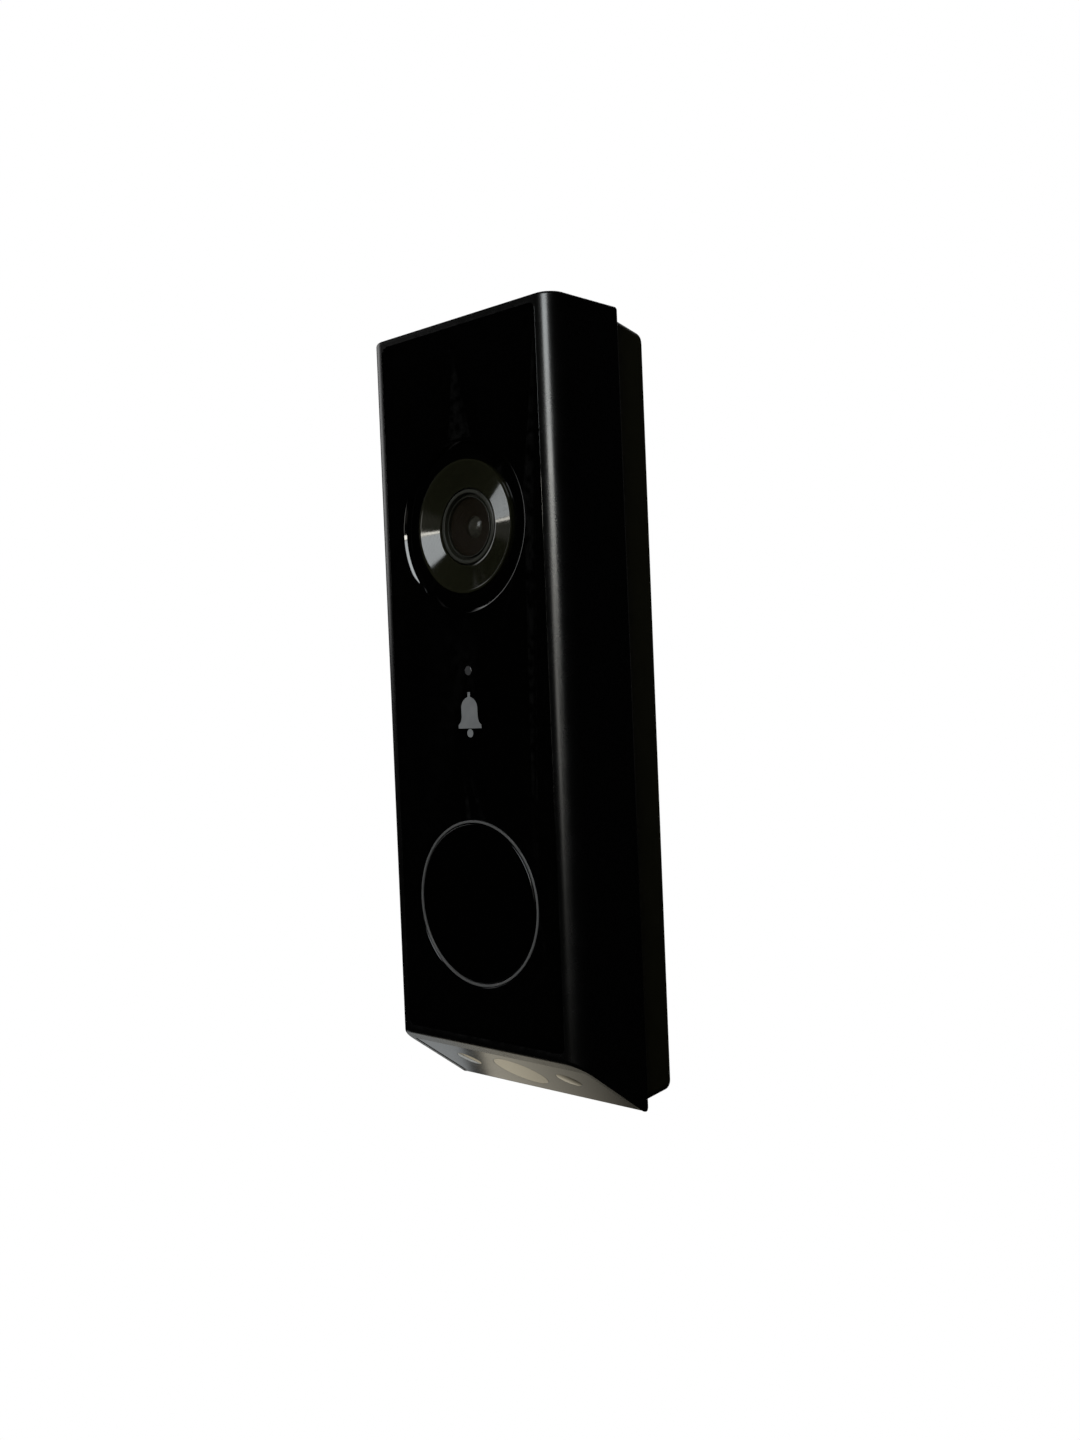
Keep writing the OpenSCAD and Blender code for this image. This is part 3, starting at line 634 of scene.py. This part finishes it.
def quarter_round(radius, steps=6):
    """(inset, rise) pairs from the end face of a rounded edge to its side."""
    turns = [math.pi / 2 * k / steps for k in range(steps + 1)]
    return [(radius * (1 - math.sin(a)), radius * (1 - math.cos(a))) for a in turns]


def outer_body():
    under = quarter_round(UNDER_ROUND)
    top = [(inset, BODY_Z - rise) for inset, rise in reversed(quarter_round(TOP_ROUND))]
    return body_loft("front_shell_body", under, top, BACK_Y, BACK_EDGE_R)


def inner_body():
    open_back = BACK_Y + OVER + WALL
    return body_loft("hollow", [(WALL, WALL)], [(WALL, BODY_Z - WALL)], open_back, LEAST_R)


def build_shell():
    shell = outer_body()
    carve(shell, inner_body())
    inside = BODY_X - 1.1

    # Ledges that carry the two gloss panels, and a rib across the bottom for the seal
    side_lip, low_lip, top_lip = 1.5, 1.4, 1.6
    hole_y, hole_z = (-40, -20), (PANEL_Z0 + low_lip, PANEL_Z1 - top_lip)
    ledge = block("ledge", (-inside, inside), LEDGE, (PANEL_Z0 - 2.4, BODY_Z - 0.8))
    carve(ledge, block("hole", (side_lip - PANEL_X, PANEL_X - side_lip), hole_y, hole_z))
    under_u, under_depth = (3.0, 22.9), (WALL - 0.3, WALL + 0.8)
    under_ledge = block("ledge_under", (-inside, inside), under_u, under_depth, UNDER)
    hole_x, hole_u, hole_depth = (-23.6, 23.6), (5.6, 22.41), (0, 5)
    carve(under_ledge, block("hole", hole_x, hole_u, hole_depth, UNDER))
    rib_y, rib_z = (-13.5, BACK_Y - 0.05), (-79.9, -76.6)
    rib = block("rib", (-inside, inside), rib_y, rib_z)
    add(shell, ledge, under_ledge, rib)

    # Screw bosses, and webs that tie them to the shell: middle, half width, back end, height
    boss_r, boss_back, pilot_r, pilot_y = 2.6, -7.05, 1.12, (-16, BACK_Y + 8)
    webs = [(22.5, 2.9, -16, (69.2, 70.8)), (10, 0.8, -24, (-66.3, -58))]
    for x, z in BOSSES:
        add(shell, tube("boss", boss_r, LEDGE[0], boss_back, at(FRONT, x, z), 48))
    for side in (-1, 1):
        for middle, half, web_back, web_z in webs:
            web_x = (side * middle - half, side * middle + half)
            add(shell, block("tie", web_x, (LEDGE[0] + 0.1, web_back), web_z))
        for x, z in BOSSES:
            if x * side > 0:
                carve(shell, tube("pilot", pilot_r, *pilot_y, at(FRONT, x, z), 32))

    # Pockets that the gloss panels sit in
    pocket_x, pocket_z = (-PANEL_X - GAP, PANEL_X + GAP), (PANEL_Z0 - GAP, PANEL_Z1 + GAP)
    rows = [(0, FRONT_Y - OVER), (0, LEDGE[0])]
    carve(shell, plate("pocket", pocket_x, pocket_z, PANEL_CORNER + GAP, rows))
    pocket_x, pocket_u = (-UNDER_X - GAP, UNDER_X + GAP), (UNDER_U[0] - GAP, UNDER_U[1] + GAP)
    rows = [(OVER, -OVER), (0.1, 0), (0, 0.1), (0, WALL + 0.03)]
    carve(shell, plate("under_pocket", pocket_x, pocket_u, UNDER_CORNER, rows, UNDER, 5))

    # Sound slots low on the left side, drawn in a frame that looks at that side
    slots, pitch, slot_y, slot_z, slot_r = 5, 2, (-24, -15), (-64.6, -63.6), 0.45
    left = Matrix(((0, 0, 1, 0), (1, 0, 0, 0), (0, 1, 0, 0), (0, 0, 0, 1)))
    for i in range(slots):
        slot = rect(*slot_y, slot_z[0] + pitch * i, slot_z[1] + pitch * i, slot_r, 6)
        carve(shell, prism("slot", slot, -BODY_X - OVER, OVER - BODY_X + WALL, left))
    dress(shell, "doorbell", "shell_black", "front_shell")


def dish_profile():
    """Side of the dish around the camera: eased edge, shallow slope, steeper foot, flat floor."""
    slope, ease, steps = math.radians(34), 0.45, 6
    edge = []
    for k in range(1, steps + 1):
        a = slope * k / steps
        edge.append((DISH_R - ease * math.sin(a), FRONT_Y + ease * (1 - math.cos(a))))
    top, floor = FRONT_Y - 0.5, FRONT_Y + 1.3
    foot_top, foot_low, foot_soft = (17.4, FRONT_Y + 0.375), (16.95, floor), 0.04
    side = rounded([edge[-1], foot_top, foot_low, (0, floor)], [0, foot_soft, 0, 0], 3)
    return [(0, top), (edge[0][0] + 0.5, top)] + edge[:-1] + side


def flared_hole(radius, flare_r, flare_y, soft, steps):
    """Turned cutting tool through the panel, wider in front of the given depth."""
    front, back = FRONT_Y - OVER, PANEL_BACK + OVER
    outline = [(0, front), (flare_r, front), (radius, flare_y), (radius, back), (0, back)]
    return rounded(outline, [0, 0, soft, 0, 0], steps)


def bell_outline(shrink=0.0):
    """Plain bell seen from the front: knob, dome, flared skirt."""
    knob_x, knob_top, knob_low, dome_r, dome_z = 0.4, 5.6, 4.58, 2.4, 2.2
    skirt = [(2.4, 0.6), (2.5, -0.1), (2.75, -0.6), (3.1, -0.95), (3.4, -1.15), (3.4, -1.9)]
    turns = [math.radians(degrees) for degrees in range(12, 91, 6)]
    dome = [(dome_r * math.sin(a), dome_z + dome_r * math.cos(a)) for a in turns]
    right = [(knob_x, knob_top), (knob_x, knob_low)] + dome + skirt
    right = [(x - shrink, z) for x, z in right]
    return right + [(-x, z) for x, z in reversed(right)]


def build_panel():
    rows = [(-inset, FRONT_Y + rise) for inset, rise in quarter_round(PANEL_EDGE, 5)]
    rows.append((0, PANEL_BACK))
    panel = plate("front_panel_gloss", (-PANEL_X, PANEL_X), (PANEL_Z0, PANEL_Z1), PANEL_CORNER, rows)
    front, back = FRONT_Y - OVER, PANEL_BACK + OVER
    carve(panel, lathe("dish", dish_profile(), at(FRONT, 0, LENS_Z), 256))
    carve(panel, tube("lens_hole", LENS_HOLE_R, FRONT_Y, back, at(FRONT, 0, LENS_Z), 192))
    hole = flared_hole(BUTTON_HOLE_R, flare_r=18.55, flare_y=FRONT_Y + 0.05, soft=0.06, steps=4)
    carve(panel, lathe("button_hole", hole, at(FRONT, 0, BUTTON_Z), 256))
    carve(panel, tube("sensor_hole", SENSOR_HOLE_R, front, back, at(FRONT, 0, SENSOR_Z), 48))
    hole = flared_hole(MIC_R, flare_r=1.55, flare_y=FRONT_Y + 0.15, soft=0.1, steps=3)
    carve(panel, lathe("mic_hole", hole, at(FRONT, MIC_X, MIC_Z), 32))
    pocket_back = FRONT_Y + 0.3
    carve(panel, prism("bell_pocket", bell_outline(), front, pocket_back))
    carve(panel, tube("clapper_pocket", CLAPPER_R, front, pocket_back, at(FRONT, 0, CLAPPER_Z), 32))
    dress(panel, "doorbell", "panel_gloss", "front_panel")

    fit, inlay_back = 0.02, FRONT_Y + 0.29
    bell = prism("bell_symbol_inlay", bell_outline(fit), FRONT_Y, inlay_back)
    add(bell, tube("clapper", CLAPPER_R - fit, FRONT_Y, inlay_back, at(FRONT, 0, CLAPPER_Z), 32))
    dress(bell, "doorbell", "symbol_grey", "bell_symbol")

    front, back = FRONT_Y + 0.05, FRONT_Y + 3.6
    outline = [(0, front), (SENSOR_R, front), (SENSOR_R, back), (0, back)]
    sensor = lathe("light_sensor_dot", rounded(outline, [0, 0.15, 0, 0], 4), at(FRONT, 0, SENSOR_Z), 48)
    dress(sensor, "doorbell", "sensor_grey", "light_sensor_window")


# ------------------------------------------------------------ camera and button


def grooved_cone():
    """Cone from the rim down to the bore, turned with fine V grooves."""
    outer, inner, pitch, drop = 13.25, 8.35, 0.35, 0.108
    # Share of a pitch where the bottom of a groove lies, so that both its faces slope alike
    trough = 0.645
    top, fall = RIM_Y + 0.02, CONE_LOW - RIM_Y - 0.04
    count = round((outer - inner) / pitch)
    points = []
    for i in range(count):
        for share, depth in ((0.0, 0.0), (trough, drop)):
            t = (i + share) / count
            points.append((outer + (inner - outer) * t, top + fall * t + depth))
    return points + [(inner, CONE_LOW - 0.02)]


def barrel_profile():
    """Lens barrel: bore, stepped well that baffles stray light, outer wall."""
    bore, seat, outer, back = 2.35, GLASS_R, 7.6, FRONT_Y + 11.5
    well_top, well_low, well_depth, well_width = CONE_LOW + 1.2, CONE_LOW + 2.0, 0.8, 3.25
    steps, step_r, step_h, first, last = 6, 0.32, 0.07, 2.75, 5.6
    points = [(bore, back), (bore, well_low)]
    for k in range(steps):
        r = first + (last - first) * k / (steps - 1)
        z = well_low - well_depth * (r - bore) / well_width
        points += [(r - step_r, z + step_h), (r, z + step_h), (r, z)]
    return points + [(seat, well_top), (seat, RING_BACK), (outer, RING_BACK), (outer, back)]


def build_camera():
    place = at(FRONT, 0, LENS_Z)
    bore, outer, wall, rim = 8.0, 15.45, 13.75, 13.3
    collar = rounded([(bore, RING_BACK), (outer, RING_BACK), (outer, FLANGE_Y), (wall, FLANGE_Y),
                      (wall, RIM_Y), (rim, RIM_Y)], [0, 0.1, 0.1, 0, 0.02, 0], 3)
    profile = collar + grooved_cone() + [(8.3, CONE_LOW), (bore, CONE_LOW + 0.1)]
    bezel = lathe("lens_bezel_grooved", profile, place, 256)
    dress(bezel, "doorbell", "bezel_black", "lens_bezel", smooth=24)

    # A dark groove parts the ring's raised rim from its narrow inner step
    bore, outer, step_r, groove_r, rim_r = 6.1, 7.7, 6.25, (6.3, 6.85), (6.95, 7.55)
    low, step_y, groove_y = CONE_LOW, CONE_LOW + 0.35, CONE_LOW + 1.25
    outline = [(bore, step_y), (step_r, step_y), (groove_r[0], groove_y), (groove_r[1], groove_y),
               (rim_r[0], low), (rim_r[1], low), (outer, low + 0.15), (outer, RING_BACK), (bore, RING_BACK)]
    profile = rounded(outline, [0.03, 0.03, 0, 0, 0.08, 0.08, 0.05, 0, 0], 4)
    dress(lathe("lens_ring_turned", profile, place), "doorbell", "lens_ring_grey", "lens_ring")

    front, back = CONE_LOW + 0.45, CONE_LOW + 0.45 + 0.5
    outline = [(0, front), (GLASS_R, front), (GLASS_R, back), (0, back)]
    glass = lathe("camera_window_glass", rounded(outline, [0, 0.12, 0.05, 0], 4), place)
    dress(glass, "doorbell", "camera_glass", "camera_window")

    barrel = lathe("lens_barrel_stepped", barrel_profile(), place)
    dress(barrel, "doorbell", "lens_baffle", "lens_barrel")

    # Front lens: a dome over a short cylinder
    dome_r, lens_r, apex, back, steps = 3.0, 2.3, CONE_LOW + 1.3, CONE_LOW + 4.5, 12
    turns = [math.asin(lens_r / dome_r) * k / steps for k in range(steps + 1)]
    dome = [(dome_r * math.sin(a), apex + dome_r * (1 - math.cos(a))) for a in turns]
    lens = lathe("front_lens_glass", dome + [(lens_r, back), (0, back)], place, 96)
    dress(lens, "doorbell", "lens_glass", "front_lens")


def build_button():
    place = at(FRONT, 0, BUTTON_Z)
    (inner, outer), (face_in, face_out), flange = GUIDE_R, GUIDE_FACE_R, 18.525
    face, foot = FRONT_Y + 0.04, FRONT_Y + 0.6
    outline = [(inner, foot), (face_in, face), (face_out, face), (outer, foot), (outer, FLANGE_Y),
               (flange, FLANGE_Y), (flange, RING_BACK), (inner, RING_BACK)]
    guide = lathe("light_ring_guide", rounded(outline, [0, 0.06, 0.06, 0, 0, 0.1, 0.1, 0], 4), place, 256)
    dress(guide, "doorbell", "light_guide", "led_ring")

    stem, disc_back, stem_back = 2.5, FRONT_Y + 1.6, FRONT_Y + 2.0
    outline = [(0, FRONT_Y), (BUTTON_R, FRONT_Y), (BUTTON_R, disc_back), (stem, disc_back),
               (stem, stem_back), (0, stem_back)]
    cap = lathe("button_cap_disc", rounded(outline, [0, 0.15, 0.1, 0, 0.1, 0], 5), place, 256)
    dress(cap, "button", "button_gloss", "button_cap")


# ------------------------------------------------------------ underside


def window_profile(radius, back):
    """Disc just under the face of the underside panel, with soft edges."""
    front = 0.1
    outline = [(0, front), (radius, front), (radius, back), (0, back)]
    return rounded(outline, [0, 0.08, 0.05, 0], 4)


def build_underside():
    edge, front, back, flare, flare_end = 0.12, 0.1, 1.6, 1.16, 0.16
    rows = [(-edge, front), (-edge * 0.3, front + edge * 0.3), (0, front + edge), (0, back)]
    panel = plate("underside_panel_gloss", (-UNDER_X, UNDER_X), UNDER_U, UNDER_CORNER, rows, UNDER, 6)
    holes = [(0, WINDOW_U, WINDOW_R, 96)] + [(side * LAMP_X, LAMP_U, LAMP_R, 64) for side in (-1, 1)]
    for x, u, radius, steps in holes:
        hole = [(0, -OVER), (radius + flare, -OVER), (radius, flare_end), (radius, 3), (0, 3)]
        carve(panel, lathe("hole", hole, at(UNDER, x, u), steps))
    dress(panel, "doorbell", "underside_gloss", "bevel_panel")

    profile = window_profile(WINDOW_R - WINDOW_FIT, 1.3)
    window = lathe("down_window_disc", profile, at(UNDER, 0, WINDOW_U), 128)
    dress(window, "doorbell", "down_window", "down_camera_window")
    profile = window_profile(LAMP_R - WINDOW_FIT, back)
    lamps = lathe("lamp_window_discs", profile, at(UNDER, LAMP_X, LAMP_U), 64)
    add(lamps, lathe("lamp", profile, at(UNDER, -LAMP_X, LAMP_U), 64))
    dress(lamps, "doorbell", "lamp_window", "lamp_windows")


# ------------------------------------------------------------ rear housing


def rear_block():
    """Tapered block with a rounded back edge; inset draws each section in."""
    slices = 4
    flat_end = REAR_BACK - REAR_ROUND
    rows = [(BACK_Y + (flat_end - BACK_Y) * k / slices, 0.0) for k in range(slices + 1)]
    rows += [(REAR_BACK - run, inset) for run, inset in quarter_round(REAR_ROUND)[1:]]
    rings = []
    for y, inset in rows:
        t = (y - BACK_Y) / (REAR_BACK - BACK_Y)
        x = REAR_X - REAR_TAPER * t - inset
        low = REAR_LOW + REAR_LOW_TAPER * t + inset
        high = REAR_TOP - REAR_TOP_TAPER * t - inset
        outline = rounded([(-x, low), (x, low), (x, high), (-x, high)], [REAR_CORNER] * 4, 10)
        rings.append([(a, b, y) for a, b in outline])
    return as_object(loft_bm(rings), "rear_housing_moulded", FRONT)


def build_rear():
    housing = rear_block()

    # Spigot that enters the shell, hollow inside, with a groove around it for the seal
    spigot_x, spigot_z, spigot_rows = 25.3, (-76.5, 80.8), [(-0.2, -13.0), (0, -12.8), (0, BACK_Y + OVER)]
    add(housing, plate("spigot", (-spigot_x, spigot_x), spigot_z, 1.2, spigot_rows))
    hollow_x, hollow_y, hollow_z = 23.6, (-14, -7), (-75, 78.8)
    carve(housing, block("hollow", (-hollow_x, hollow_x), hollow_y, hollow_z))
    core_x, core_z, core_rows = 24.5, (-75.7, 80.0), [(0, -14), (0, -10)]
    around_x, around_z, groove_rows = 30, 90, [(0, -12.4), (0, -11.6)]
    groove = plate("groove", (-around_x, around_x), (-around_z, around_z), 1, groove_rows)
    carve(groove, plate("core", (-core_x, core_x), core_z, 1.0, core_rows))
    carve(housing, groove)

    # Pocket for the wall bracket, with a chamfered lip and a catch left at the top
    pocket_x, pocket_z, pocket_rows = 21.5, (-72, 75.6), [(0, -5.2), (0, -0.9), (0.15, -0.6), (0.6, 0.2)]
    pocket = plate("pocket", (-pocket_x, pocket_x), pocket_z, 1.0, pocket_rows)
    catch_x, catch_y, catch_z = 8, (-1.6, 3), (72, 80)
    carve(pocket, block("keep", (-catch_x, catch_x), catch_y, catch_z))
    carve(housing, pocket)

    # Openings in the floor: case screws, terminal screws, reset button, charging socket
    floor = (-8, -4)
    case_r, terminal_r, reset_r = 1.3, 1.65, 1.6
    holes = [(x, z, case_r) for x, z in BOSSES]
    holes += [(-8, 32, terminal_r), (8, 32, terminal_r), (11, 20, reset_r)]
    for x, z, radius in holes:
        carve(housing, tube("hole", radius, *floor, at(FRONT, x, z), 32))
    socket_x, socket_z, socket_r = 4.8, (18.05, 21.95), 0.4
    carve(housing, prism("hole", rect(-socket_x, socket_x, *socket_z, socket_r, 4), *floor))

    # Release pin hole: wide mouth, short cone, narrow bore up to the latch
    mouth_r, cone_r, bore_r = 2.0, 1.15, 0.9
    start, mouth_end, cone_end, bore_start, end = -90, -79.2, -78.6, -78.2, -71
    profile = [(0, start), (mouth_r, start), (mouth_r, mouth_end), (cone_r, cone_end), (bore_r, bore_start),
               (bore_r, end), (0, end)]
    carve(housing, lathe("pin", profile, Matrix.Translation((0, LATCH_Y, 0)), 32))
    dress(housing, "doorbell", "rear_matte", "rear_housing")


# ------------------------------------------------------------ springs


def coil_spring(name, radius, wire, turns, z0, z1, matrix):
    """Round-wire spring with flat half turns at its ends."""
    rings = []
    around, section = 24, 10
    steps = turns * around
    for i in range(steps + 1):
        turn = turns * i / steps
        a = 2 * math.pi * turn
        share = min(max((turn - 0.5) / (turns - 1), 0), 1)
        z = z0 + wire + (z1 - z0 - 2 * wire) * share
        ring = []
        for k in range(section):
            b = 2 * math.pi * k / section
            out = radius + wire * math.cos(b)
            ring.append((out * math.cos(a), out * math.sin(a), z + wire * math.sin(b)))
        rings.append(ring)
    return as_object(loft_bm(rings), name, matrix)


def build_springs():
    """Round-wire coil springs for the button and the latch."""
    front, back, travel, radius, wire, turns = -29.9, -27.0, 0.5, 5.4, 0.25, 3
    place = at(FRONT, 0, BUTTON_Z)
    spring = coil_spring("button_spring_wire", radius, wire, turns, front, back, place)
    dress(spring, "doorbell", "spring_steel", "button_spring")
    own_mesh(spring)

    low, high, travel, radius, wire, turns = -58.0, -53.2, 1.5, 0.72, 0.13, 6
    place = Matrix.Translation((0, LATCH_Y, 0))
    spring = coil_spring("latch_spring_wire", radius, wire, turns, low, high, place)
    dress(spring, "bracket", "spring_steel", "latch_spring")
    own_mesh(spring)


# ------------------------------------------------------------ CAD nodes that keep their shape


def smoothing_group():
    """Geometry nodes that shade smooth everywhere but across edges sharper than 35 degrees."""
    group = bpy.data.node_groups.new("smooth_by_angle", "GeometryNodeTree")
    group.interface.new_socket("Geometry", in_out="INPUT", socket_type="NodeSocketGeometry")
    group.interface.new_socket("Geometry", in_out="OUTPUT", socket_type="NodeSocketGeometry")
    source, sink = node(group, "NodeGroupInput"), node(group, "NodeGroupOutput")
    plain = node(group, "GeometryNodeRemoveAttribute")
    plain.inputs["Name"].default_value = "custom_normal"
    faces = node(group, "GeometryNodeSetShadeSmooth", domain="FACE")
    edges = node(group, "GeometryNodeSetShadeSmooth", domain="EDGE")
    edges.inputs["Shade Smooth"].default_value = False
    angle = node(group, "GeometryNodeInputMeshEdgeAngle")
    sharp = node(group, "FunctionNodeCompare", data_type="FLOAT", operation="GREATER_THAN")
    sharp.inputs["B"].default_value = math.radians(35)
    link(group, source.outputs[0], plain.inputs["Geometry"])
    link(group, plain.outputs[0], faces.inputs["Geometry"])
    link(group, faces.outputs[0], edges.inputs["Geometry"])
    link(group, angle.outputs["Unsigned Angle"], sharp.inputs["A"])
    link(group, sharp.outputs[0], edges.inputs["Selection"])
    link(group, edges.outputs[0], sink.inputs[0])
    return group


def polish(name, slot, group, width):
    """Soft edges and a finish on a CAD node whose shape stays."""
    piece = NODES[name]
    weld = piece.modifiers.new("weld", "WELD")
    weld.merge_threshold = 1e-6
    if width:
        edge = piece.modifiers.new("edge", "BEVEL")
        edge.limit_method = "ANGLE"
        edge.angle_limit = math.radians(40)
        edge.width = width * MM
        edge.segments = 3
    smooth = piece.modifiers.new("smooth", "NODES")
    smooth.node_group = group
    normals = piece.modifiers.new("normals", "WEIGHTED_NORMAL")
    normals.keep_sharp = True
    piece.data.materials.clear()
    piece.data.materials.append(MATERIALS[slot])


CAD_FINISH = {
    "bracket_black": {"wall_bracket": 0.25, "bracket_latch": 0.2},
    "adhesive_tape": {"panel_adhesive": 0},
    "inner_black": {"camera_holder": 0.2, "battery_tray": 0.25, "down_camera_module": 0.15, "speaker": 0.2},
    "screw_steel": {"camera_screws": 0.12, "case_screws": 0.1, "terminal_screws": 0.15},
    "sensor_chip": {"image_sensor": 0.1},
    "board_green": {"sensor_board": 0.05, "microphone_board": 0.05, "main_board": 0.08, "lamp_boards": 0.05,
                    "io_board": 0.05},
    "flex_amber": {"ribbon_cable": 0.03, "wifi_antenna": 0.05},
    "rubber_black": {"microphone_boot": 0.1, "port_cover": 0.25},
    "led_white": {"ring_leds": 0.1, "lamp_leds": 0.1},
    "switch_grey": {"tact_switch": 0.12, "reset_button": 0.12, "reset_switch": 0.12},
    "shield_tin": {"shield_can": 0.15, "charging_socket": 0.06},
    "cell_wrap": {"battery_cells": 0.6},
    "contact_gold": {"battery_contacts": 0.08, "terminal_block": 0.05},
    "lens_baffle": {"down_camera_baffle": 0.03},
    "lens_glass": {"down_camera_lens": 0},
    "foam_grey": {"speaker_gasket": 0.1},
    "seal_grey": {"rear_seal": 0.15},
}


add_camera()
add_world()
add_floor()
add_lights()
make_materials()
build_shell()
build_panel()
build_camera()
build_button()
build_underside()
build_rear()
build_springs()
smoothing = smoothing_group()
for finish_slot, members in CAD_FINISH.items():
    for member, edge_width in members.items():
        polish(member, finish_slot, smoothing, edge_width)
